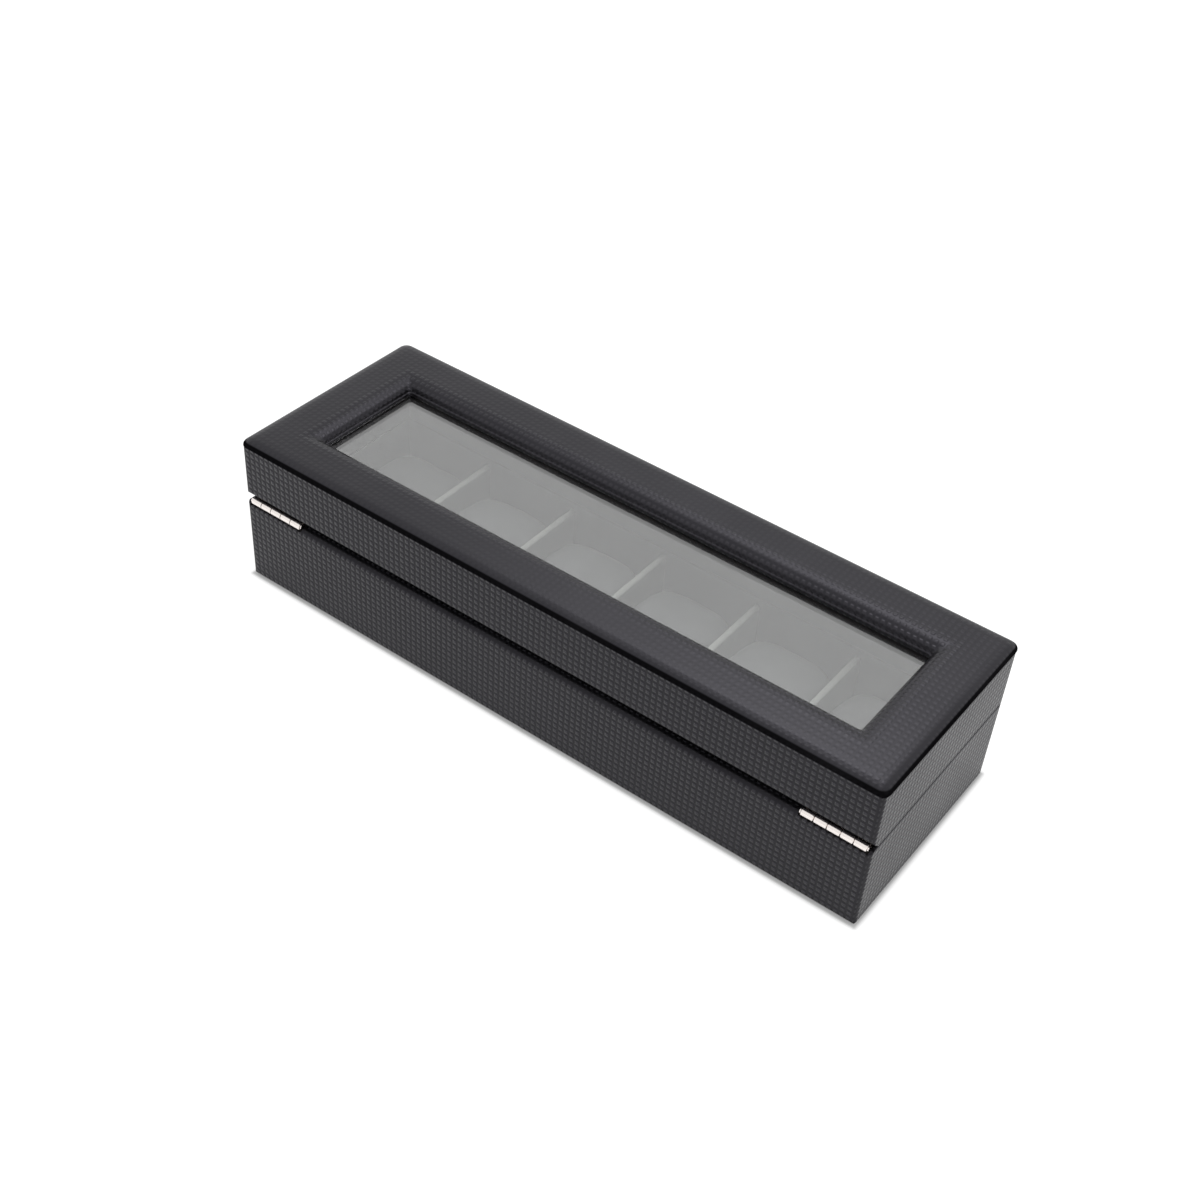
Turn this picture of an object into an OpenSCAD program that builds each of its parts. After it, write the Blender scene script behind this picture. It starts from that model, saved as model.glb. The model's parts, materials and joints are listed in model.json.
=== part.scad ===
// Watch box for six watches: a leatherette-covered base and a hinged lid with a glass window.
// Origin at the middle of the underside, +X along the length, +Y towards the hinges, +Z up.

/* [Box] */
// Overall length
box_l = 320; // [280:1:400]
// Overall width, front to back
box_w = 105; // [98:1:130]
// Height of the parting line above the surface
base_h = 42; // [38:1:60]
// Height of the lid's side band above the parting line
band_h = 29.3; // [26:0.1:45]
// Radius of the upright corners
corner_r = 2; // [1.2:0.1:4]
// Rounding of the arrises at the rims
arris_r = 0.5; // [0.2:0.1:1.5]
// Rounding of the arrises round the underside
foot_arris_r = 1.2; // [0.4:0.1:2.5]
// Bevel along the lid's lower rear edge, which lets it swing back
rear_bevel = 5; // [4.8:0.1:5.5]
// Rounding of the base's upper rear edge, below that bevel
rear_r = 3; // [1:0.1:3.2]
// Gap between the closed rims
parting_gap = 0.4; // [0.2:0.05:0.6]

/* [Leatherette] */
// Thickness of the leatherette
skin = 0.8; // [0.5:0.05:0.8]
// Width of the edge turned in over the top of the side band
band_turn = 6; // [4:0.5:9]
// Width of the edge turned in under the base
foot_turn = 12; // [8:1:20]
// Thickness of the pad on the underside
pad_t = 0.8; // [0.5:0.1:2]
// Distance from the side of the box to the edge of the underside pad
pad_inset = 2.5; // [2:0.5:6]

/* [Panels] */
// Thickness of the side panels
panel_t = 9; // [8:0.5:11]
// Thickness of the floor panel
floor_t = 5; // [3:0.5:8]
// Thickness of the board round the window
window_board_t = 7.5; // [6.5:0.5:12]
// Thickness of the board that carries the padding
top_board_t = 1.7; // [1:0.1:3]

/* [Lining] */
// Thickness of the lining on the walls
lining_t = 2.2; // [1.5:0.1:3]
// Thickness of the lining on the floor
floor_lining_t = 1.5; // [1:0.1:3]
// Thickness of the lining under the window board
ceiling_lining_t = 1.5; // [1:0.1:3]
// Distance from each rim to the edge of its lining
lining_drop = 0.3; // [0.1:0.1:2]

/* [Dividers] */
// Thickness of a divider
divider_t = 3; // [2:0.5:5]
// Height of a divider above the floor lining
divider_h = 30; // [20:0.1:32]
// Rounding of a divider's top edges
divider_top_r = 1.2; // [0.4:0.1:1.4]

/* [Pillows] */
// Height of a pillow
pillow_h = 23.5; // [20:0.5:28]
// Gap between a pillow and the dividers
pillow_side_gap = 1.4; // [0.5:0.1:4]
// Gap between a pillow's ends and the lining
pillow_end_gap = 4; // [0.5:0.1:6]
// Gap under a resting pillow
pillow_seat_gap = 0.3; // [0.1:0.1:0.5]

/* [Padded frame] */
// Width of the frame round the window
rail_w = 25; // [22:0.5:28]
// Height of the padding above its board
crown_h = 2; // [1.5:0.1:4]
// Width of the roll down to the edge of the board
outer_roll = 6.8; // [4:0.1:9]
// Width of the roll down into the window
inner_roll = 8; // [6:0.5:10]
// Height of the roll down into the window
inner_roll_h = 6; // [4:0.5:6]
// Width of the board's lip that the padding rolls over at the window
foam_lip = 3.2; // [2:0.1:5]

/* [Glass] */
// Thickness of the glass
glass_t = 2; // [1.5:0.5:3]
// Depth of the glass below the top of the side band
glass_drop = 3.3; // [2:0.1:4]
// Width of the glass's edge that the padded board holds down
glass_lap = 3; // [2:0.5:5]
// Gap round the edge of the glass
glass_gap = 0.3; // [0.1:0.1:0.5]

/* [Hinges] */
// Length of a hinge
hinge_l = 29; // [22:0.5:40]
// Distance from the end of the box to a hinge
hinge_inset = 2.4; // [2:0.1:30]
// Distance from the back of the box to the hinge axis
axis_inset = 1.9; // [1.9:0.05:2]
// Radius of the barrel
barrel_r = 1.75; // [1.5:0.05:1.85]
// Radius of the pin
pin_r = 0.7; // [0.5:0.05:0.9]
// Gap between the pin and its bore
pin_gap = 0.05; // [0.02:0.01:0.08]
// Thickness of the pin's heads
pin_head_t = 0.5; // [0.3:0.1:1]
// Radius of the pin's heads
pin_head_r = 1.2; // [1:0.05:1.4]
// Gap between neighbouring knuckles
knuckle_gap = 0.3; // [0.1:0.05:0.4]
// Bevel round the ends of a knuckle
knuckle_bevel = 0.2; // [0.1:0.05:0.3]
// Gap round the barrel
barrel_gap = 0.3; // [0.2:0.05:0.4]
// Distance from the hinge axis to a leaf's inner edge
leaf_reach = 7.1; // [6.6:0.1:7.8]
// Distance from the hinge axis to the screws
screw_reach = 5.3; // [5.2:0.1:5.6]
// Distance of a screw from the end of its leaf
screw_end = 7; // [4:0.5:9]
// Length of a hinge screw
screw_l = 7; // [5:0.5:9]
// Radius of a hinge screw's shank
screw_r = 0.65; // [0.5:0.05:0.8]
// Radius of a hinge screw's head
screw_head_r = 1.25; // [1:0.05:1.4]
// Gap between a hinge screw and its hole
screw_gap = 0.05; // [0.02:0.01:0.1]

/* [Magnets] */
// Radius of a closing magnet
magnet_r = 3.2; // [2:0.1:3.5]
// Thickness of a closing magnet
magnet_t = 2; // [1:0.5:3]
// Distance of the magnets from the middle of the front
magnet_x = 60; // [30:1:120]
// Gap round a magnet in its pocket
magnet_gap = 0.1; // [0.05:0.05:0.3]

/* [Hidden] */

// Fixed counts: the node list has one name for each divider and pillow.
slots = 6;
knuckles = 5;

// Heights of the base
base_bottom = pad_t;
base_top = base_h - parting_gap / 2;
base_rim = base_top - skin;
floor_z = base_bottom + skin;
lining_floor_z = floor_z + floor_t;
slot_floor_z = lining_floor_z + floor_lining_t;
base_lining_top = base_top - lining_drop;

// Heights of the lid
lid_bottom = base_h + parting_gap / 2;
lid_rim = lid_bottom + skin;
band_top = base_h + band_h;
board_top = band_top + top_board_t;
lip_top = band_top + top_board_t / 2;
lid_top = board_top + crown_h;
glass_top = band_top - glass_drop;
window_board_top = band_top - skin;
window_board_z = window_board_top - window_board_t;
ceiling_z = window_board_z - ceiling_lining_t;
lid_lining_bottom = lid_bottom + lining_drop;

// Half sizes of the space inside the panels and inside the lining
in_x = box_l / 2 - skin - panel_t;
in_y = box_w / 2 - skin - panel_t;
lined_x = in_x - lining_t;
lined_y = in_y - lining_t;

// Compartments
slot_w = (2 * lined_x - (slots - 1) * divider_t) / slots;
slot_pitch = slot_w + divider_t;
pillow_w = slot_w - 2 * pillow_side_gap;
pillow_l = 2 * lined_y - 2 * pillow_end_gap;

// Openings in the lid's boards
window_l = box_l - 2 * rail_w;
window_w = box_w - 2 * rail_w;
board_lap = rail_w - foam_lip - skin;
glass_l = box_l - 2 * board_lap + 2 * glass_lap;
glass_w = box_w - 2 * board_lap + 2 * glass_lap;

// Hinges
axis_y = box_w / 2 - axis_inset;
axis_z = base_h;
hinge_x = box_l / 2 - hinge_inset - hinge_l / 2;
knuckle_pitch = hinge_l / knuckles;
bore_r = pin_r + pin_gap;
leaf_t = skin;
leaf_front = axis_y - leaf_reach;
leaf_back = axis_y - barrel_r - barrel_gap;
screw_y = axis_y - screw_reach;
screw_x = hinge_l / 2 - screw_end;
slot_cut_w = 0.35;
slot_cut_t = 0.25;

magnet_y = box_w / 2 - skin - panel_t / 2;

// Roundness of arcs and of the pillows' outlines
arc_steps = 8;
pillow_steps = 28;
// Least radius that an inner surface keeps behind a rounded one
least_r = 0.05;
// Overrun of a cut past the surface it opens
over = 1;

base_colour = [0.20, 0.19, 0.21];
board_colour = [0.13, 0.11, 0.10];
felt_colour = [0.12, 0.12, 0.13];
lining_colour = [0.22, 0.22, 0.23];
pillow_colour = [0.33, 0.33, 0.35];
metal_colour = [0.80, 0.77, 0.76];

// ---- Outlines ----

function arc(c, rx, ry, from, to) =
    [for (i = [0:arc_steps]) let (a = from + (to - from) * i / arc_steps)
        [c[0] + rx * cos(a), c[1] + ry * sin(a)]];

function power(v, n) = sign(v) * pow(abs(v), 2 / n);

function cushion(w, h, n) =
    [for (i = [0:pillow_steps - 1]) let (a = 360 * (i + 0.5) / pillow_steps)
        [w / 2 * power(cos(a), n), h / 2 * power(sin(a), n)]];

// A rectangle with round corners, seen from above
module plan(l, w, r) {
    square([l - 2 * r, w], center = true);
    square([l, w - 2 * r], center = true);
    for (x = [-1, 1], y = [-1, 1])
        translate([x * (l / 2 - r), y * (w / 2 - r)]) circle(r, $fn = 48);
}

// A section through a covered box, with its four arrises rounded
module section(w, low, high, low_r, high_r) {
    polygon(concat(
        arc([-w / 2 + low_r, low + low_r], low_r, low_r, 180, 270),
        arc([w / 2 - low_r, low + low_r], low_r, low_r, 270, 360),
        arc([w / 2 - high_r, high - high_r], high_r, high_r, 0, 90),
        arc([-w / 2 + high_r, high - high_r], high_r, high_r, 90, 180)));
}

// Carries a section drawn as across and up along X or along Y
module along_x(l) {
    rotate([90, 0, 90]) linear_extrude(l, center = true) children();
}

module along_y(l) {
    rotate([90, 0, 0]) linear_extrude(l, center = true) children();
}

// A box with round corners and arrises, drawn in by inset on every side
module covered_box(low, high, low_r, inset) {
    l = box_l - 2 * inset;
    w = box_w - 2 * inset;
    z0 = low + inset;
    z1 = high - inset;
    r0 = max(low_r - inset, least_r);
    r1 = max(arris_r - inset, least_r);
    intersection() {
        translate([0, 0, z0]) linear_extrude(z1 - z0) plan(l, w, corner_r - inset);
        along_x(box_l) section(w, z0, z1, r0, r1);
        along_y(box_w) section(l, z0, z1, r0, r1);
    }
}

module base_form(inset) {
    y1 = box_w / 2 - inset;
    z1 = base_top - inset;
    r = max(rear_r - inset, least_r);
    intersection() {
        covered_box(base_bottom, base_top, foot_arris_r, inset);
        along_x(box_l)
            polygon(concat([[-y1, 0], [y1, 0]], arc([y1 - r, z1 - r], r, r, 0, 90), [[-y1, z1]]));
    }
}

module lid_form(inset) {
    cut = rear_bevel - inset * (2 - sqrt(2)) + 2 * over;
    y1 = box_w / 2 - inset + over;
    z0 = lid_bottom + inset - over;
    difference() {
        covered_box(lid_bottom, band_top, arris_r, inset);
        along_x(box_l + 2 * over)
            polygon([[y1 - cut, z0], [y1, z0], [y1, z0 + cut]]);
    }
}

// A flat block through the middle, between two heights
module block(half_x, half_y, z0, z1) {
    translate([-half_x, -half_y, z0]) cube([2 * half_x, 2 * half_y, z1 - z0]);
}

// The part of a box that one side panel takes: front and back run the full length
module panel_zone(side, z0, z1) {
    if (side == "front") translate([-box_l / 2, -box_w / 2, z0]) cube([box_l, box_w / 2 - in_y, z1 - z0]);
    if (side == "back") translate([-box_l / 2, in_y, z0]) cube([box_l, box_w / 2 - in_y, z1 - z0]);
    if (side == "left") translate([-box_l / 2, -in_y, z0]) cube([box_l / 2 - in_x, 2 * in_y, z1 - z0]);
    if (side == "right") translate([in_x, -in_y, z0]) cube([box_l / 2 - in_x, 2 * in_y, z1 - z0]);
}

module lining_board(side, z0, z1) {
    color(lining_colour) {
        if (side == "front") translate([-in_x, -in_y, z0]) cube([2 * in_x, lining_t, z1 - z0]);
        if (side == "back") translate([-in_x, lined_y, z0]) cube([2 * in_x, lining_t, z1 - z0]);
        if (side == "left") translate([-in_x, -lined_y, z0]) cube([lining_t, 2 * lined_y, z1 - z0]);
        if (side == "right") translate([lined_x, -lined_y, z0]) cube([lining_t, 2 * lined_y, z1 - z0]);
    }
}

// ---- Base ----

module base_panel(side) {
    color(board_colour) difference() {
        intersection() {
            base_form(skin);
            panel_zone(side, floor_z, base_rim);
        }
        if (side == "back") {
            barrel_pockets();
            screws(screw_gap, -1);
        }
        if (side == "front") magnets(base_rim - magnet_t, magnet_gap);
    }
}

module base_floor_panel() {
    color(board_colour) block(in_x, in_y, floor_z, lining_floor_z);
}

module base_wrap() {
    color(base_colour) difference() {
        base_form(0);
        base_form(skin);
        block(in_x, in_y, base_h / 2, base_top + over);
        block(box_l / 2 - foot_turn, box_w / 2 - foot_turn, base_bottom - over, base_h / 2);
        barrel_pockets();
        leaf_seats(base_rim, base_top + over);
    }
}

// Felt glued over the turned edges and up against the floor panel between them
module base_underside_pad() {
    color(felt_colour) {
        linear_extrude(pad_t) plan(box_l - 2 * pad_inset, box_w - 2 * pad_inset, corner_r);
        block(box_l / 2 - foot_turn, box_w / 2 - foot_turn, 0, floor_z);
    }
}

module base_lining_floor() {
    color(lining_colour) block(lined_x, lined_y, lining_floor_z, slot_floor_z);
}

// Dividers stand on the floor lining, counted from the left
module divider(i) {
    x = (i - slots / 2) * slot_pitch;
    round_x = divider_t / 2 - divider_top_r;
    round_z = divider_h - divider_top_r;
    color(lining_colour) translate([x, 0, slot_floor_z]) along_y(2 * lined_y) polygon(concat(
        [[-divider_t / 2, 0], [divider_t / 2, 0]],
        arc([round_x, round_z], divider_top_r, divider_top_r, 0, 90),
        arc([-round_x, round_z], divider_top_r, divider_top_r, 90, 180)));
}

// A watch pillow: crowned on every side, standing in its compartment
module pillow(i) {
    x = (i - (slots + 1) / 2) * slot_pitch;
    z = slot_floor_z + pillow_seat_gap + pillow_h / 2;
    color(pillow_colour) translate([x, 0, z]) intersection() {
        along_y(pillow_l) polygon(cushion(pillow_w, pillow_h, 3.4));
        along_x(pillow_w) polygon(cushion(pillow_l, pillow_h, 5));
        translate([0, 0, -pillow_h / 2]) linear_extrude(pillow_h) polygon(cushion(pillow_w, pillow_l, 7));
    }
}

// ---- Lid ----

module lid_panel(side) {
    color(board_colour) difference() {
        intersection() {
            lid_form(skin);
            panel_zone(side, lid_rim, window_board_z);
        }
        if (side == "back") screws(screw_gap, 1);
        if (side == "front") magnets(lid_rim, magnet_gap);
    }
}

// Board under the glass, rebated for it
module lid_window_board() {
    seat_x = glass_l / 2 + glass_gap;
    seat_y = glass_w / 2 + glass_gap;
    color(board_colour) difference() {
        intersection() {
            lid_form(skin);
            block(box_l / 2, box_w / 2, window_board_z, window_board_top);
        }
        block(window_l / 2, window_w / 2, window_board_z - over, window_board_top + over);
        block(seat_x, seat_y, glass_top - glass_t, window_board_top + over);
    }
}

module glass_pane() {
    color([0.75, 0.82, 0.82, 0.35]) block(glass_l / 2, glass_w / 2, glass_top - glass_t, glass_top);
}

// Board that carries the padding, with a lip below it that holds the glass down
module lid_top_board() {
    color(board_colour) {
        difference() {
            translate([0, 0, band_top]) linear_extrude(top_board_t)
                plan(box_l - 2 * skin, box_w - 2 * skin, corner_r - skin);
            block(box_l / 2 - board_lap, box_w / 2 - board_lap, band_top - over, board_top + over);
        }
        difference() {
            block(glass_l / 2, glass_w / 2, glass_top, lip_top);
            well(skin);
        }
    }
}

// Section across the whole lid over the padding: board edge, roll, crown, roll, board edge
module crown_section(w, inset) {
    side = w / 2 - inset;
    roll = outer_roll - inset;
    rise = crown_h - inset;
    polygon(concat(
        [[-side, glass_top], [side, glass_top]],
        arc([side - roll, board_top], roll, rise, 0, 90),
        arc([-side + roll, board_top], roll, rise, 90, 180)));
}

// Section of the well that the padding rolls down into, from above the crown to below the glass's face
module well_section(w, inset) {
    lip = w / 2 + inner_roll;
    low = lid_top - inner_roll_h;
    roll = inner_roll - inset;
    drop = inner_roll_h - inset;
    polygon(concat(
        [[-lip + roll, glass_top - over], [lip - roll, glass_top - over]],
        arc([lip, low], roll, drop, 180, 90),
        [[lip, lid_top + over], [-lip, lid_top + over]],
        arc([-lip, low], roll, drop, 90, 0)));
}

module well(inset) {
    intersection() {
        along_x(box_l) well_section(window_w, inset);
        along_y(box_w) well_section(window_l, inset);
    }
}

// The padded frame all round the window, drawn in by inset
module padded_frame(inset) {
    difference() {
        intersection() {
            along_x(box_l) crown_section(box_w, inset);
            along_y(box_w) crown_section(box_l, inset);
            linear_extrude(lid_top) plan(box_l - 2 * inset, box_w - 2 * inset, corner_r - inset);
        }
        well(inset);
        difference() {
            block(box_l / 2, box_w / 2, glass_top - over, band_top);
            block(box_l / 2 - board_lap, box_w / 2 - board_lap, glass_top - 2 * over, band_top + over);
        }
    }
}

// Leatherette over the padding, from the lower edge of its board down to the glass
module lid_top_cover() {
    color(base_colour) difference() {
        padded_frame(0);
        padded_frame(skin);
    }
}

// Foam over the board and over its lip at the window
module lid_top_foam() {
    color([0.85, 0.82, 0.70]) difference() {
        padded_frame(skin);
        block(glass_l / 2, glass_w / 2, glass_top - over, lip_top);
        difference() {
            block(box_l / 2, box_w / 2, glass_top - over, board_top);
            block(box_l / 2 - board_lap, box_w / 2 - board_lap, glass_top - 2 * over, board_top + over);
        }
    }
}

module lid_wrap() {
    color(base_colour) difference() {
        lid_form(0);
        lid_form(skin);
        block(in_x, in_y, lid_bottom - over, window_board_z);
        block(box_l / 2 - band_turn, box_w / 2 - band_turn, window_board_z, band_top + over);
        leaf_seats(lid_bottom - over, lid_rim);
    }
}

module lid_lining_ceiling() {
    color(lining_colour) difference() {
        block(lined_x, lined_y, ceiling_z, window_board_z);
        block(window_l / 2, window_w / 2, ceiling_z - over, window_board_z + over);
    }
}

// ---- Hinges ----

module at_hinges() {
    for (side = [-1, 1]) translate([side * hinge_x, 0, 0]) children();
}

// Room for the barrels in the base's rear rim
module barrel_pockets() {
    l = hinge_l + 2 * (pin_head_t + barrel_gap);
    at_hinges() translate([-l / 2, leaf_back, axis_z - barrel_r - barrel_gap]) cube([l, box_w, base_h]);
}

// Openings in a turned edge that the leaves lie in
module leaf_seats(z0, z1) {
    at_hinges() translate([-hinge_l / 2, leaf_front, z0]) cube([hinge_l, leaf_reach, z1 - z0]);
}

// One leaf with its knuckles; up is 1 for the lid's leaf and -1 for the base's
module hinge_leaf(up) {
    first = up > 0 ? 1 : 0;
    z0 = up > 0 ? lid_bottom : base_rim;
    color(metal_colour) difference() {
        union() {
            translate([-hinge_l / 2, leaf_front, z0]) cube([hinge_l, leaf_back - leaf_front, leaf_t]);
            for (k = [first:2:knuckles - 1])
                translate([-hinge_l / 2 + k * knuckle_pitch + knuckle_gap / 2, 0, 0]) knuckle(z0);
        }
        translate([0, axis_y, axis_z]) rotate([0, 90, 0])
            cylinder(hinge_l + 2 * over, r = bore_r, center = true, $fn = 32);
        for (x = [-1, 1]) translate([x * screw_x, screw_y, 0]) screw(screw_gap, up);
    }
}

module knuckle(z0) {
    w = knuckle_pitch - knuckle_gap;
    narrow_r = barrel_r - knuckle_bevel;
    translate([0, axis_y, axis_z]) rotate([0, 90, 0]) {
        cylinder(knuckle_bevel, r1 = narrow_r, r2 = barrel_r, $fn = 48);
        translate([0, 0, knuckle_bevel]) cylinder(w - 2 * knuckle_bevel, r = barrel_r, $fn = 48);
        translate([0, 0, w - knuckle_bevel])
            cylinder(knuckle_bevel, r1 = barrel_r, r2 = narrow_r, $fn = 48);
    }
    translate([0, leaf_back - over, z0]) cube([w, axis_y - leaf_back + over, leaf_t]);
}

module hinge_pin() {
    color(metal_colour) translate([0, axis_y, axis_z]) rotate([0, 90, 0]) {
        cylinder(hinge_l, r = pin_r, center = true, $fn = 32);
        for (side = [-1, 1])
            translate([0, 0, side * (hinge_l + pin_head_t) / 2])
                cylinder(pin_head_t, r = pin_head_r, center = true, $fn = 32);
    }
}

// A countersunk screw, flush with its leaf; gap widens it into its own hole
module screw(gap, up) {
    face = up > 0 ? lid_bottom : base_top;
    head_t = screw_head_r - screw_r;
    translate([0, 0, face]) mirror([0, 0, up > 0 ? 0 : 1]) {
        cylinder(screw_l + gap, r = screw_r + gap, $fn = 32);
        cylinder(head_t, r1 = screw_head_r + gap, r2 = screw_r + gap, $fn = 32);
    }
}

module screws(gap, up) {
    at_hinges() for (x = [-1, 1]) translate([x * screw_x, screw_y, 0]) screw(gap, up);
}

// The screws with the slot in each head
module hinge_screws(up) {
    face = up > 0 ? lid_bottom : base_top;
    color(metal_colour) difference() {
        screws(0, up);
        at_hinges() for (x = [-1, 1])
            translate([x * screw_x, screw_y, face])
                cube([3 * screw_head_r, slot_cut_w, 2 * slot_cut_t], center = true);
    }
}

// ---- Magnets ----

// Magnets let into the front rims; gap widens them into their own pockets
module magnets(z0, gap) {
    for (x = [-1, 1])
        translate([x * magnet_x, -magnet_y, z0]) cylinder(magnet_t, r = magnet_r + gap, $fn = 48);
}

// ---- Nodes ----

base_panel("front");  // base_front_panel
base_panel("back");  // base_back_panel
base_panel("left");  // base_left_panel
base_panel("right");  // base_right_panel
base_floor_panel();
base_wrap();
base_underside_pad();
lining_board("front", lining_floor_z, base_lining_top);  // base_lining_front
lining_board("back", lining_floor_z, base_lining_top);  // base_lining_back
lining_board("left", lining_floor_z, base_lining_top);  // base_lining_left
lining_board("right", lining_floor_z, base_lining_top);  // base_lining_right
base_lining_floor();
divider(1);  // divider_1
divider(2);  // divider_2
divider(3);  // divider_3
divider(4);  // divider_4
divider(5);  // divider_5
pillow(1);  // pillow_1
pillow(2);  // pillow_2
pillow(3);  // pillow_3
pillow(4);  // pillow_4
pillow(5);  // pillow_5
pillow(6);  // pillow_6
translate([-hinge_x, 0, 0]) hinge_leaf(-1);  // base_hinge_leaf_left
translate([hinge_x, 0, 0]) hinge_leaf(-1);  // base_hinge_leaf_right
translate([-hinge_x, 0, 0]) hinge_pin();  // hinge_pin_left
translate([hinge_x, 0, 0]) hinge_pin();  // hinge_pin_right
hinge_screws(-1);  // base_hinge_screws
color(metal_colour) magnets(base_rim - magnet_t, 0);  // base_magnets
lid_panel("front");  // lid_front_panel
lid_panel("back");  // lid_back_panel
lid_panel("left");  // lid_left_panel
lid_panel("right");  // lid_right_panel
lid_window_board();
glass_pane();
lid_top_board();
lid_top_foam();
lid_top_cover();
lid_wrap();
lining_board("front", lid_lining_bottom, window_board_z);  // lid_lining_front
lining_board("back", lid_lining_bottom, window_board_z);  // lid_lining_back
lining_board("left", lid_lining_bottom, window_board_z);  // lid_lining_left
lining_board("right", lid_lining_bottom, window_board_z);  // lid_lining_right
lid_lining_ceiling();
translate([-hinge_x, 0, 0]) hinge_leaf(1);  // lid_hinge_leaf_left
translate([hinge_x, 0, 0]) hinge_leaf(1);  // lid_hinge_leaf_right
hinge_screws(1);  // lid_hinge_screws
color(metal_colour) magnets(lid_rim, 0);  // lid_magnets
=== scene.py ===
import json
import math

import bmesh
import bpy
import numpy as np
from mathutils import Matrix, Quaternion, Vector, noise


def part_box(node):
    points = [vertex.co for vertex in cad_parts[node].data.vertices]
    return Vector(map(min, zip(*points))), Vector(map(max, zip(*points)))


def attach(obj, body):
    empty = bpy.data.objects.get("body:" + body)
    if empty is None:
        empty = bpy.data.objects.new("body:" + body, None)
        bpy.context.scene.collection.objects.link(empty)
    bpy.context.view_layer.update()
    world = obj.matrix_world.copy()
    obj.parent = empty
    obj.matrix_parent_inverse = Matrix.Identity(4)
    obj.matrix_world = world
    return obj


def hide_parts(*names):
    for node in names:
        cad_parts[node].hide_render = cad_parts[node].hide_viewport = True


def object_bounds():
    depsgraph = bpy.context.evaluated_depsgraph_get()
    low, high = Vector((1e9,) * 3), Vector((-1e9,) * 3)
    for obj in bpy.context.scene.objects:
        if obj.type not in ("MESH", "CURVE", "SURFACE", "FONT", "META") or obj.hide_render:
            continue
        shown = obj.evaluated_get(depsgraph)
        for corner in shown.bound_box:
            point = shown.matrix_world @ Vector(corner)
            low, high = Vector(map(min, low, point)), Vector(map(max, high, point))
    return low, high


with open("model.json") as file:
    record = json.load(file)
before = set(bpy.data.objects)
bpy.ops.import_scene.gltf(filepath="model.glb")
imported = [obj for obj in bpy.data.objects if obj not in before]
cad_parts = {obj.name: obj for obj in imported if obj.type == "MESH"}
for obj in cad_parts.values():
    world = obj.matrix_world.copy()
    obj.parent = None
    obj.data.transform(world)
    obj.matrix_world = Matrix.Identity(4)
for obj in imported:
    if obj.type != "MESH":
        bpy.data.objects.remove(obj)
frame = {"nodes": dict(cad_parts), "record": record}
cadLow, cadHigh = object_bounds()
mm = 0.001


def say(text):
    print("watch box:", text)


def newMaterial(name):
    mat = bpy.data.materials.new(name)
    mat.use_nodes = True
    tree = mat.node_tree
    return mat, tree, tree.nodes["Principled BSDF"]


def feed(tree, socket, value):
    if isinstance(value, bpy.types.NodeSocket):
        tree.links.new(value, socket)
    else:
        socket.default_value = value


# links holds each socket's name, with underscores for spaces, and what feeds it
def addNode(tree, kind, settings=None, **links):
    node = tree.nodes.new(kind)
    for key, value in (settings or {}).items():
        setattr(node, key, value)
    for key, value in links.items():
        feed(tree, node.inputs[key.replace("_", " ")], value)
    return node


def calc(tree, operation, *values):
    node = tree.nodes.new("ShaderNodeMath")
    node.operation = operation
    for i, value in enumerate(values):
        feed(tree, node.inputs[i], value)
    return node.outputs[0]


def ramp(tree, value, low, high, toLow=0.0, toHigh=1.0):
    node = tree.nodes.new("ShaderNodeMapRange")
    node.interpolation_type = "SMOOTHSTEP"
    for i, v in enumerate((value, low, high, toLow, toHigh)):
        feed(tree, node.inputs[i], v)
    return node.outputs[0]


def mixValue(tree, share, a, b):
    node = tree.nodes.new("ShaderNodeMix")
    node.data_type = "FLOAT"
    feed(tree, node.inputs[0], share)
    feed(tree, node.inputs[2], a)
    feed(tree, node.inputs[3], b)
    return node.outputs[0]


def mixColour(tree, share, a, b):
    node = tree.nodes.new("ShaderNodeMix")
    node.data_type = "RGBA"
    feed(tree, node.inputs[0], share)
    feed(tree, node.inputs[6], a)
    feed(tree, node.inputs[7], b)
    return node.outputs[2]


def noiseOf(tree, vector, scale, detail=3.0, roughness=0.5):
    node = addNode(tree, "ShaderNodeTexNoise", Vector=vector, Scale=scale, Detail=detail, Roughness=roughness)
    return node.outputs[0]


leatherette = {
    "pitch": 2.85 * mm,  # from one embossed square to the next
    "squareFrom": 0.05,
    "squareTo": 0.80,
    "high": (0.0105, 0.0100, 0.0115, 1),  # on a square
    "low": (0.0050, 0.0048, 0.0055, 1),  # in the grooves
    "worn": (0.0160, 0.0155, 0.0170, 1),
    "wornFrom": 0.45,
    "wornTo": 0.7,
    "wornShare": 0.35,
    "grainScale": 2600.0,
    "grainHeight": 0.16,  # share of a square's height
    "driftScale": 28.0,
    "roughness": 0.36,
    "roughDrift": 0.10,
    "squareGloss": 0.05,
    "shine": 0.44,
    "shineFull": 0.6,  # how far up a square the shine is full
    "tint": (0.90, 0.87, 1.0, 1),
    "wrapDepth": 0.35 * mm,
    "wrapGroove": 0.55,  # share of the shine left in the grooves, the rest taken out as painted shade
    "coverDepth": 0.14 * mm,
    "coverGroove": 0.88,
    "topFace": 0.8,  # least upward part of the normal on a top face
    "flatFrom": 0.80,  # the squares fade where the leather turns an edge
    "flatTo": 0.97,
}


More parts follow.
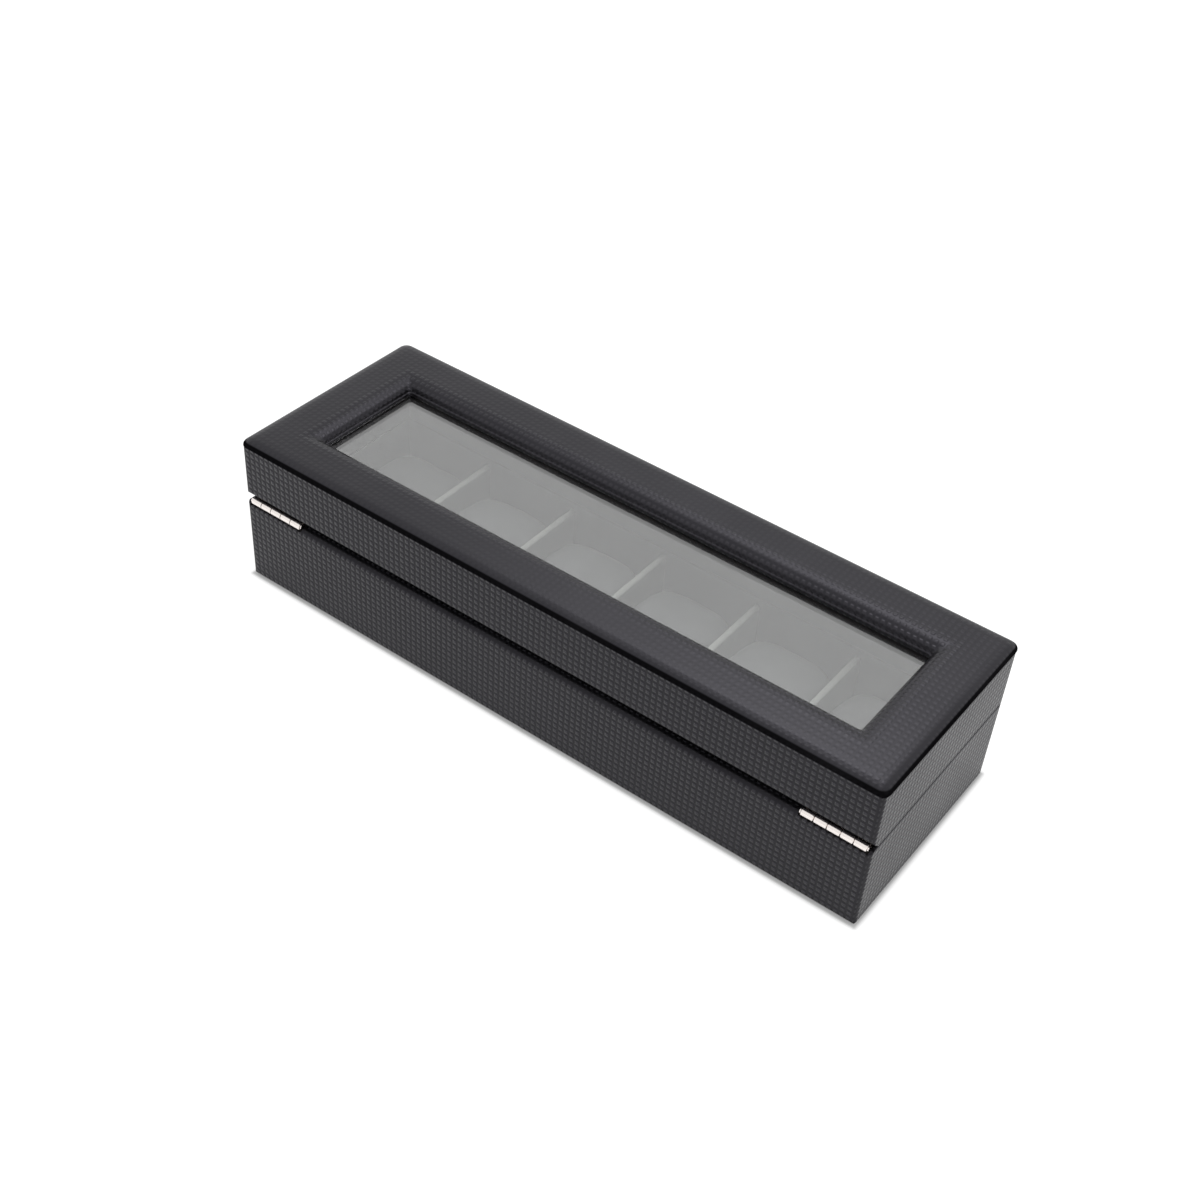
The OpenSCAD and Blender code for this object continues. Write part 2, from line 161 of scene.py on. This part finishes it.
# across and up on whichever face of the box a point lies
def faceCoordinates(tree):
    s = leatherette
    where = addNode(tree, "ShaderNodeTexCoord")
    pos = addNode(tree, "ShaderNodeSeparateXYZ", Vector=where.outputs["Object"])
    nor = addNode(tree, "ShaderNodeSeparateXYZ", Vector=where.outputs["Normal"])
    nx, ny, nz = (calc(tree, "ABSOLUTE", nor.outputs[i]) for i in range(3))
    onEnd = calc(tree, "GREATER_THAN", nx, ny)
    onTop = calc(tree, "GREATER_THAN", nz, s["topFace"])
    turned = calc(tree, "MULTIPLY", onEnd, calc(tree, "SUBTRACT", 1.0, onTop))
    across = mixValue(tree, turned, pos.outputs[0], pos.outputs[1])
    up = mixValue(tree, onTop, pos.outputs[2], pos.outputs[1])
    largest = calc(tree, "MAXIMUM", calc(tree, "MAXIMUM", nx, ny), nz)
    return where.outputs["Object"], across, up, ramp(tree, largest, s["flatFrom"], s["flatTo"])


# the cover's own flat sheet, in metres, and how deep its squares are pressed
def sheetCoordinates(tree):
    where = addNode(tree, "ShaderNodeTexCoord")
    uv = addNode(tree, "ShaderNodeUVMap", {"uv_map": "sheet"})
    flat = addNode(tree, "ShaderNodeSeparateXYZ", Vector=uv.outputs[0])
    relief = addNode(tree, "ShaderNodeAttribute", {"attribute_name": "relief"})
    return where.outputs["Object"], flat.outputs[0], flat.outputs[1], relief.outputs["Fac"]


def leatheretteMaterial(name, coordinates, kind):
    s = leatherette
    depth, groove = s[kind + "Depth"], s[kind + "Groove"]
    mat, tree, skin = newMaterial(name)
    place, u, v, share = coordinates(tree)

    def row(value):
        turn = calc(tree, "MULTIPLY", value, 1.0 / s["pitch"] * 2 * math.pi)
        wave = calc(tree, "MULTIPLY_ADD", calc(tree, "COSINE", turn), 0.5, 0.5)
        return ramp(tree, wave, s["squareFrom"], s["squareTo"])

    square = calc(tree, "MULTIPLY", calc(tree, "MULTIPLY", row(u), row(v)), share)
    grain = noiseOf(tree, place, s["grainScale"], 4.0, 0.6)
    height = calc(tree, "MULTIPLY_ADD", grain, s["grainHeight"], square)
    bump = addNode(tree, "ShaderNodeBump", Height=height, Strength=1.0, Distance=depth)
    feed(tree, skin.inputs["Normal"], bump.outputs[0])

    drift = noiseOf(tree, place, s["driftScale"], 2.0, 0.5)
    shade = mixColour(tree, square, s["low"], s["high"])
    wear = calc(tree, "MULTIPLY", ramp(tree, drift, s["wornFrom"], s["wornTo"]), s["wornShare"])
    feed(tree, skin.inputs["Base Color"], mixColour(tree, wear, shade, s["worn"]))
    rough = calc(tree, "MULTIPLY_ADD", drift, s["roughDrift"], s["roughness"] - s["roughDrift"] / 2)
    feed(tree, skin.inputs["Roughness"], calc(tree, "MULTIPLY_ADD", square, -s["squareGloss"], rough))

    # painted shade: the grooves keep less shine than the squares, standing in for their occlusion
    shine = ramp(tree, square, 0.0, s["shineFull"], groove * s["shine"], s["shine"])
    rim = addNode(tree, "ShaderNodeAttribute", {"attribute_name": "rim"})  # 1 in the cover's seam, where the shine is taken out as painted shade for the crease
    outsideSeamShade = calc(tree, "SUBTRACT", 1.0, rim.outputs["Fac"])
    feed(tree, skin.inputs["Specular IOR Level"], calc(tree, "MULTIPLY", shine, outsideSeamShade))
    skin.inputs["Specular Tint"].default_value = s["tint"]
    return mat


velvet = {
    "pileScale": 1900.0,
    "pileShare": 0.7,
    "layScale": 60.0,  # patches where the pile lies another way
    "layFrom": 0.3,
    "layTo": 0.75,
    "layShare": 0.3,
    "pileStrength": 0.6,
    "pileDepth": 0.25 * mm,
    "roughness": 0.92,
    "specular": 0.15,
    "sheenRoughness": 0.35,
}

liningCloth = {"deep": (0.030, 0.030, 0.0325, 1), "pale": (0.073, 0.073, 0.077, 1), "sheen": 0.10}
pillowCloth = {"deep": (0.11, 0.11, 0.115, 1), "pale": (0.21, 0.21, 0.22, 1), "sheen": 0.15}
dividerCloth = {
    "deep": (0.05, 0.05, 0.053, 1),
    "pale": (0.12, 0.12, 0.125, 1),
    "sheen": 0.12,
    "worn": (0.42, 0.42, 0.40, 1),  # the top edge, paler partly from rubbed pile and partly as painted light from above
    "wornFrom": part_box("divider_1")[1][2] - 1.3 * mm,
    "wornFade": 1.2 * mm,
    "wornFront": -43 * mm,  # painted shade: the pale top fades towards the front, under the lid's front rail
    "wornBack": -33 * mm,
    "wornLeast": 0.25,
}


def velvetMaterial(name, cloth):
    s = velvet
    mat, tree, skin = newMaterial(name)
    place = addNode(tree, "ShaderNodeTexCoord").outputs["Object"]
    pile = noiseOf(tree, place, s["pileScale"], 3.0, 0.65)
    lay = ramp(tree, noiseOf(tree, place, s["layScale"], 2.0, 0.5), s["layFrom"], s["layTo"])
    tone = calc(tree, "MULTIPLY_ADD", lay, s["layShare"], calc(tree, "MULTIPLY", pile, s["pileShare"]))
    shade = mixColour(tree, tone, cloth["deep"], cloth["pale"])
    # the top edge is paler, partly rubbed pile and partly painted light from above, with painted shade
    # towards the front
    if "worn" in cloth:
        spot = addNode(tree, "ShaderNodeSeparateXYZ", Vector=place)
        rubbedAndLit = ramp(tree, spot.outputs[2], cloth["wornFrom"], cloth["wornFrom"] + cloth["wornFade"])
        # painted shade: the paleness dims towards the front
        along = ramp(tree, spot.outputs[1], cloth["wornFront"], cloth["wornBack"], cloth["wornLeast"], 1.0)
        shade = mixColour(tree, calc(tree, "MULTIPLY", rubbedAndLit, along), shade, cloth["worn"])
    feed(tree, skin.inputs["Base Color"], shade)
    bump = addNode(tree, "ShaderNodeBump", Height=pile, Strength=s["pileStrength"], Distance=s["pileDepth"])
    feed(tree, skin.inputs["Normal"], bump.outputs[0])
    skin.inputs["Roughness"].default_value = s["roughness"]
    skin.inputs["Specular IOR Level"].default_value = s["specular"]
    skin.inputs["Sheen Weight"].default_value = cloth["sheen"]
    skin.inputs["Sheen Roughness"].default_value = s["sheenRoughness"]
    return mat


nickel = {
    "dark": (0.80, 0.74, 0.71, 1),
    "pale": (0.90, 0.85, 0.82, 1),
    "hazeScale": 900.0,
    "hazeFrom": 0.2,
    "hazeTo": 0.9,
    "smooth": 0.14,
    "rough": 0.30,
}


def nickelMaterial():
    s = nickel
    mat, tree, metal = newMaterial("polishedNickel")
    place = addNode(tree, "ShaderNodeTexCoord").outputs["Object"]
    haze = noiseOf(tree, place, s["hazeScale"], 3.0, 0.6)
    feed(tree, metal.inputs["Base Color"], mixColour(tree, haze, s["dark"], s["pale"]))
    rough = ramp(tree, haze, s["hazeFrom"], s["hazeTo"], s["smooth"], s["rough"])
    feed(tree, metal.inputs["Roughness"], rough)
    metal.inputs["Metallic"].default_value = 1.0
    return mat


fibreboard = {
    "dark": (0.012, 0.010, 0.009, 1),
    "pale": (0.022, 0.018, 0.016, 1),
    "fibreScale": 1400.0,
    "fibreStrength": 0.4,
    "fibreDepth": 0.1 * mm,
    "roughness": 0.8,
}


def boardMaterial():
    s = fibreboard
    mat, tree, board = newMaterial("fibreboard")
    place = addNode(tree, "ShaderNodeTexCoord").outputs["Object"]
    fibre = noiseOf(tree, place, s["fibreScale"], 4.0, 0.7)
    feed(tree, board.inputs["Base Color"], mixColour(tree, fibre, s["dark"], s["pale"]))
    bump = addNode(tree, "ShaderNodeBump", Height=fibre, Strength=s["fibreStrength"],
                   Distance=s["fibreDepth"])
    feed(tree, board.inputs["Normal"], bump.outputs[0])
    board.inputs["Roughness"].default_value = s["roughness"]
    return mat


windowGlass = {
    "Base Color": (0.97, 0.985, 0.98, 1),
    "Roughness": 0.0,
    "IOR": 1.45,
    "Transmission Weight": 1.0,
    "Coat Weight": 1.0,
    "Coat Roughness": 0.06,
    "Coat IOR": 1.9,
}
glassShadow = (0.92, 0.94, 0.93, 1)


# shadow and diffuse rays pass straight through, so the pillows are lit under the pane
def glassMaterial():
    mat, tree, glass = newMaterial("windowGlass")
    for name, value in windowGlass.items():
        glass.inputs[name].default_value = value
    clear = addNode(tree, "ShaderNodeBsdfTransparent", Color=glassShadow)
    rays = addNode(tree, "ShaderNodeLightPath")
    mix = addNode(tree, "ShaderNodeMixShader")
    passing = calc(tree, "MAXIMUM", rays.outputs["Is Shadow Ray"], rays.outputs["Is Diffuse Ray"])
    feed(tree, mix.inputs[0], passing)
    feed(tree, mix.inputs[1], glass.outputs[0])
    feed(tree, mix.inputs[2], clear.outputs[0])
    feed(tree, tree.nodes["Material Output"].inputs["Surface"], mix.outputs[0])
    return mat


def dress(node, mat):
    for slot in frame["nodes"][node].material_slots:
        slot.material = mat


def makeObject(name, verts, faces, mat, uvs=None):
    mesh = bpy.data.meshes.new(name)
    mesh.from_pydata([tuple(v) for v in verts], [], faces)
    if uvs is not None:
        layer = mesh.uv_layers.new(name="sheet")
        for loop in mesh.loops:
            layer.data[loop.index].uv = uvs[loop.vertex_index]
    mesh.shade_smooth()
    mesh.materials.append(mat)
    obj = bpy.data.objects.new(name, mesh)
    bpy.context.collection.objects.link(obj)
    return obj


# faces of a closed skin through equal loops, the last joined to the first
def ringFaces(count, loops):
    faces = []
    for j in range(loops):
        a, b = j * count, ((j + 1) % loops) * count
        for i in range(count):
            k = (i + 1) % count
            faces.append((a + i, a + k, b + k, b + i))
    return faces


# an anticlockwise rectangle with round corners; sideSteps counts the short and the long side
def roundedLoop(halfX, halfY, radius, sideSteps, cornerSteps):
    points = []
    corners = [(1, -1, -90), (1, 1, 0), (-1, 1, 90), (-1, -1, 180)]
    for n, (sx, sy, start) in enumerate(corners):
        cx, cy = sx * (halfX - radius), sy * (halfY - radius)
        for i in range(cornerSteps + 1):
            a = math.radians(start + 90 * i / cornerSteps)
            points.append((cx + radius * math.cos(a), cy + radius * math.sin(a)))
        nextX, nextY, nextStart = corners[(n + 1) % 4]
        a = math.radians(nextStart)
        endX = nextX * (halfX - radius) + radius * math.cos(a)
        endY = nextY * (halfY - radius) + radius * math.sin(a)
        x, y = points[-1]
        count = sideSteps[n % 2]
        for i in range(1, count):
            points.append((x + (endX - x) * i / count, y + (endY - y) * i / count))
    return points


cover = {
    "windowHalf": 135 * mm,  # from the middle of the lid to the window's end
    # in from the side and up from the band's top edge
    "tuck": ((0.9 * mm, 0.02 * mm), (0.5 * mm, 0.12 * mm), (0.1 * mm, 0.25 * mm)),
    "overhang": 0.6 * mm,
    "seamRise": 0.5 * mm,
    # how high above the band the seam's painted shade reaches
    "seamShadeRise": 2.3 * mm,
    "outerRoll": 6.6 * mm,
    "outerPower": 2.4,  # 2 is a round roll, more is squarer
    "innerRoll": 7.4 * mm,
    "innerDrop": 4.6 * mm,
    "step": 0.6 * mm,
    "stepEdge": ((0.9, 0.25 * mm), (0.3, 0.30 * mm), (0.0, 0.55 * mm)),  # share of the step out, and down
    "glassGap": 0.15 * mm,
    "lip": 4.0 * mm,  # how far the leather is turned in under the window's edge
    "lipEdge": 0.2 * mm,
    "outerCorner": 3.6 * mm,
    "innerCorner": 1.6 * mm,
    "leastCorner": 0.5 * mm,
    "sheetAt": 0.45,  # share of the rail's width where the sheet keeps its true place
    "crownRelief": 0.28,  # the squares are stretched flat on the crown
    "edgeWidth": 10 * mm,
    "edgeFade": 4 * mm,
    "rightRelief": 1.5,
    "rightFrom": -50 * mm,
    "rightFade": 90 * mm,
    "alongX": 150,
    "alongY": 50,
    "crownSteps": 6,
    "cornerSteps": 6,
    "rollSteps": 12,
}


# distance in from the side and height, from the band up over the crown and back under the leather
def coverProfile():
    s = cover
    coverLow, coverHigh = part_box("lid_top_cover")
    glassTop, crown = coverLow[2], coverHigh[2]
    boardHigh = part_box("lid_top_board")[1]
    boardTop, boardIn = boardHigh[2], coverHigh[0] - boardHigh[0]
    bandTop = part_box("lid_wrap")[1][2]
    rail = coverHigh[0] - s["windowHalf"]
    foot = bandTop + s["seamRise"]
    points = [(inward, bandTop + rise) for inward, rise in s["tuck"]]
    across = s["outerRoll"] + s["overhang"]
    power = 2 / s["outerPower"]
    for i in range(s["rollSteps"] + 1):
        a = math.radians(90 * i / s["rollSteps"])
        inward = s["outerRoll"] - across * math.cos(a) ** power
        points.append((inward, foot + (crown - foot) * math.sin(a) ** power))
    innerStart = rail - s["step"] - s["innerRoll"]
    flat = innerStart - s["outerRoll"]
    for i in range(1, s["crownSteps"] + 1):
        points.append((s["outerRoll"] + flat * i / s["crownSteps"], crown))
    for i in range(1, s["rollSteps"] + 1):
        a = math.radians(90 - 90 * i / s["rollSteps"])
        inward = innerStart + s["innerRoll"] * math.cos(a)
        points.append((inward, crown - s["innerDrop"] * (1 - math.sin(a))))
    stepTop = crown - s["innerDrop"]
    points += [(rail - share * s["step"], stepTop - drop) for share, drop in s["stepEdge"]]
    points += [(rail, glassTop + s["glassGap"]), (rail - s["lipEdge"], glassTop)]
    points += [(rail - s["lip"], glassTop), (rail - s["lip"], boardTop)]
    points += [(boardIn, boardTop), (boardIn, bandTop + s["tuck"][0][1])]
    return points, rail


def clamped(value):
    return min(1.0, max(0.0, value))


def makeCover(mat):
    s = cover
    points, rail = coverProfile()
    halfX, halfY = cadHigh.x, cadHigh.y
    reach = [0.0]  # length of leather up to each point of the profile
    for (d0, z0), (d1, z1) in zip(points, points[1:]):
        reach.append(reach[-1] + math.hypot(d1 - d0, z1 - z0))
    middle = next(i for i, p in enumerate(points) if p[0] > s["sheetAt"] * rail)
    verts, uvs = [], []
    for (d, z), r in zip(points, reach):
        share = d / rail
        radius = s["outerCorner"] * (1 - share) + s["innerCorner"] * share
        radius = max(radius, s["leastCorner"])
        flat = points[middle][0] + (r - reach[middle])
        stretchX = (halfX - flat) / (halfX - d)
        stretchY = (halfY - flat) / (halfY - d)
        for x, y in roundedLoop(halfX - d, halfY - d, radius, (s["alongY"], s["alongX"]), s["cornerSteps"]):
            verts.append((x, y, z))
            uvs.append((x * stretchX, y * stretchY))
    count = len(verts) // len(points)
    obj = makeObject("paddedFrame", verts, ringFaces(count, len(points)), mat, uvs)
    rim = obj.data.attributes.new("rim", "FLOAT", "POINT")
    relief = obj.data.attributes.new("relief", "FLOAT", "POINT")
    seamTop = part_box("lid_wrap")[1][2] + s["seamShadeRise"]
    for i, (x, y, z) in enumerate(verts):
        d = points[i // count][0]
        # painted shade: the shine goes from the low part of the outer roll, in the seam's crease
        rim.data[i].value = 1.0 if d < s["outerRoll"] / 2 and z < seamTop else 0.0
        inward = clamped((d - (rail - s["edgeWidth"])) / s["edgeFade"])
        rightward = clamped((s["rightFrom"] - x) / s["rightFade"])
        crown = s["crownRelief"] + (1 - s["crownRelief"]) * inward
        relief.data[i].value = crown * (1 + (s["rightRelief"] - 1) * rightward)
    fixNormals(obj)
    return obj


def fixNormals(obj):
    bm = bmesh.new()
    bm.from_mesh(obj.data)
    bmesh.ops.recalc_face_normals(bm, faces=bm.faces)
    bm.to_mesh(obj.data)
    bm.free()


pillow = {
    "count": 6,
    "cuts": 18,
    "power": 5.0,  # 2 is an egg, more is boxier
    "inset": (0.6 * mm, 1.0 * mm, 0.7 * mm),  # room to swell before it fills its box
    "voxel": 2.6 * mm,
    "pressure": 4.0,
    "mass": 0.3,
    "quality": 6,
    "frames": 20,
    "cap": 1.6 * mm,  # the furthest that the cloth may move
    "dent": 0.03,
    "dentScale": 70,
    "dentShift": 9.1,  # from one pillow's dents to the next one's
}


def pillowForm(box):
    s = pillow
    bm = bmesh.new()
    bmesh.ops.create_cube(bm, size=2)
    bmesh.ops.subdivide_edges(bm, edges=bm.edges, cuts=s["cuts"], use_grid_fill=True)
    low, high = (Vector(c) for c in box)
    reach = [h - i for h, i in zip((high - low) / 2, Vector(s["inset"]))]
    for v in bm.verts:
        k = sum(abs(c) ** s["power"] for c in v.co) ** (1 / s["power"])
        v.co = Vector([r * c / k for r, c in zip(reach, v.co)])
    mesh = bpy.data.meshes.new("pillowForm")
    bm.to_mesh(mesh)
    bm.free()
    return mesh


def applied(obj):
    graph = bpy.context.evaluated_depsgraph_get()
    mesh = bpy.data.meshes.new_from_object(obj.evaluated_get(graph))
    obj.modifiers.clear()
    old = obj.data
    obj.data = mesh
    bpy.data.meshes.remove(old)


def inflate(obj):
    s = pillow
    remesh = obj.modifiers.new("remesh", "REMESH")
    remesh.mode = "VOXEL"
    remesh.voxel_size = s["voxel"]
    applied(obj)
    before = [v.co.copy() for v in obj.data.vertices]
    cloth = obj.modifiers.new("cloth", "CLOTH")
    cloth.settings.use_pressure = True
    cloth.settings.uniform_pressure_force = s["pressure"]
    cloth.settings.effector_weights.gravity = 0
    cloth.settings.mass = s["mass"]
    cloth.settings.quality = s["quality"]
    cloth.point_cache.frame_start, cloth.point_cache.frame_end = 1, s["frames"]
    scene = bpy.context.scene
    for f in range(1, s["frames"] + 1):
        scene.frame_set(f)
    applied(obj)
    scene.frame_set(1)
    for v, was in zip(obj.data.vertices, before):
        move = v.co - was
        if move.length > s["cap"]:
            v.co = was + move.normalized() * s["cap"]
    smooth = obj.modifiers.new("smooth", "SUBSURF")
    smooth.levels = smooth.render_levels = 1
    applied(obj)


# one pillow is inflated, then fitted to each compartment's box and dented
def makePillows(mat):
    s = pillow
    form = bpy.data.objects.new("pillowForm", pillowForm(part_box("pillow_1")))
    bpy.context.collection.objects.link(form)
    inflate(form)
    coords = np.array([v.co for v in form.data.vertices])
    faces = [tuple(p.vertices) for p in form.data.polygons]
    reach = np.abs(coords).max(axis=0)
    for i in range(1, s["count"] + 1):
        low, high = (Vector(c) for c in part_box(f"pillow_{i}"))
        mid, half = (low + high) / 2, (high - low) / 2
        verts = coords * (np.array(half) / reach)
        for v in verts:
            dent = noise.noise(Vector(v) * s["dentScale"] + Vector((i * s["dentShift"], 0, 0)))
            v *= 1 - s["dent"] * abs(dent)
        verts = verts + np.array(mid)
        obj = makeObject(f"watchPillow_{i}", verts, faces, mat)
        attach(obj, f"pillow_{i}")
        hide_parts(f"pillow_{i}")
    bpy.data.objects.remove(form)


view = {
    "picture": 1200,  # side of the picture, which focal and centre are measured in
    "focal": 1716.2,
    "centre": (628, 633.6),
    "sensor": 36,
    "azimuth": 212.862,
    "elevation": 41.685,
    "roll": -5.288,
    "distance": 771.12 * mm,
    "target": (5.202 * mm, -26.154 * mm, 0),
    "near": 0.05,
    "far": 50,
}


def makeCamera():
    s = view
    az, el = math.radians(s["azimuth"]), math.radians(s["elevation"])
    back = Vector((math.sin(az) * math.cos(el), -math.cos(az) * math.cos(el), math.sin(el)))
    data = bpy.data.cameras.new("camera")
    data.sensor_width = s["sensor"]
    data.lens = s["focal"] / s["picture"] * data.sensor_width
    data.shift_x = (s["picture"] / 2 - s["centre"][0]) / s["picture"]
    data.shift_y = (s["centre"][1] - s["picture"] / 2) / s["picture"]
    data.clip_start, data.clip_end = s["near"], s["far"]
    cam = bpy.data.objects.new("camera", data)
    bpy.context.collection.objects.link(cam)
    cam.location = Vector(s["target"]) + back * s["distance"]
    cam.rotation_mode = "QUATERNION"
    turn = Quaternion((0, 0, 1), math.radians(-s["roll"]))
    cam.rotation_quaternion = (-back).to_track_quat("-Z", "Y") @ turn
    bpy.context.scene.camera = cam


# 1 for the rays that see the white background: from the camera, in a reflection and through glass
def backgroundRays(tree):
    rays = addNode(tree, "ShaderNodeLightPath")
    seen = rays.outputs["Is Camera Ray"]
    for name in ("Is Glossy Ray", "Is Transmission Ray"):
        seen = calc(tree, "MAXIMUM", seen, rays.outputs[name])
    return seen


skyLight = 0.85  # for all other rays


def makeWorld():
    world = bpy.data.worlds.new("studio")
    bpy.context.scene.world = world
    world.use_nodes = True
    tree = world.node_tree
    sky = tree.nodes["Background"]
    sky.inputs["Color"].default_value = (1, 1, 1, 1)
    sky.inputs["Strength"].default_value = skyLight
    white = addNode(tree, "ShaderNodeBackground", Color=(1, 1, 1, 1), Strength=1.0)
    mix = addNode(tree, "ShaderNodeMixShader")
    feed(tree, mix.inputs[0], backgroundRays(tree))
    feed(tree, mix.inputs[1], sky.outputs[0])
    feed(tree, mix.inputs[2], white.outputs[0])
    feed(tree, tree.nodes["World Output"].inputs["Surface"], mix.outputs[0])


ground = {
    "half": 6.0,
    "colour": (0.45, 0.45, 0.45, 1),
    "roughness": 0.9,
    "specular": 0.1,
    "glow": 0.80,  # with the light that falls on it, the floor looks white
    "glowInPaintedShadow": 0.05,
    "paintedShadowNear": -1.0 * mm,  # painted contact shadow: the glow fades in over this stretch, out from the box's sides
    "paintedShadowFar": 2.5 * mm,
}


def makeFloor():
    s = ground
    mat, tree, base = newMaterial("floorWhite")
    base.inputs["Base Color"].default_value = s["colour"]
    base.inputs["Roughness"].default_value = s["roughness"]
    base.inputs["Specular IOR Level"].default_value = s["specular"]
    place = addNode(tree, "ShaderNodeTexCoord").outputs["Object"]
    spot = addNode(tree, "ShaderNodeSeparateXYZ", Vector=place)
    beyond = []
    for socket, half in ((spot.outputs[0], cadHigh.x), (spot.outputs[1], cadHigh.y)):
        out = calc(tree, "SUBTRACT", calc(tree, "ABSOLUTE", socket), half)
        beyond.append(calc(tree, "MAXIMUM", out, 0.0))
    away = calc(tree, "SQRT", calc(tree, "ADD", *[calc(tree, "MULTIPLY", b, b) for b in beyond]))
    # painted contact shadow: the floor's glow is low right next to the box
    glow = ramp(tree, away, s["paintedShadowNear"], s["paintedShadowFar"], s["glowInPaintedShadow"], s["glow"])
    base.inputs["Emission Color"].default_value = (1, 1, 1, 1)
    feed(tree, base.inputs["Emission Strength"], calc(tree, "MULTIPLY", backgroundRays(tree), glow))
    h = s["half"]
    verts = [(-h, -h, 0), (h, -h, 0), (h, h, 0), (-h, h, 0)]
    floor = makeObject("floor", verts, [(0, 1, 2, 3)], mat)


# soft lamps above the front, facing down, for the shine on the rails
lamps = (
    {"name": "middle", "at": (-0.05, -0.15, 0.36), "side": 0.16, "radiance": 3.6},
    {"name": "right", "at": (0.10, -0.15, 0.36), "side": 0.16, "radiance": 1.8},
)


def makeLamps():
    for s in lamps:
        lamp = bpy.data.lights.new(s["name"], "AREA")
        lamp.shape = "RECTANGLE"
        lamp.size = lamp.size_y = s["side"]
        lamp.energy = s["radiance"] * math.pi * lamp.size * lamp.size_y
        obj = bpy.data.objects.new(s["name"], lamp)
        bpy.context.collection.objects.link(obj)
        obj.visible_camera = False
        obj.visible_diffuse = False
        obj.location = Vector(s["at"])


makeCamera()
makeWorld()
makeFloor()
makeLamps()
bpy.context.scene.view_settings.view_transform = "Standard"
say("studio set")

wrapLeather = leatheretteMaterial("leatheretteWrap", faceCoordinates, "wrap")
coverLeather = leatheretteMaterial("leatheretteCover", sheetCoordinates, "cover")
lining = velvetMaterial("liningVelvet", liningCloth)
divider = velvetMaterial("dividerVelvet", dividerCloth)
plush = velvetMaterial("pillowVelvet", pillowCloth)
metal = nickelMaterial()
board = boardMaterial()
finishes = {
    "leatherette": wrapLeather,
    "lining_velvet": lining,
    "pillow_velvet": plush,
    "underside_felt": lining,
    "hinge_nickel": metal,
    "magnet_steel": metal,
    "board": board,
    "foam": board,
    "window_glass": glassMaterial(),
}
for row in frame["record"]["subparts"]:
    isDivider = row["node"].startswith("divider")
    dress(row["node"], divider if isDivider else finishes[row["material_slot"]])
say("CAD nodes dressed")

paddedFrame = makeCover(coverLeather)
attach(paddedFrame, "lid")
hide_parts("lid_top_cover", "lid_top_foam")
say("padded frame made")

makePillows(plush)
say("pillows made")
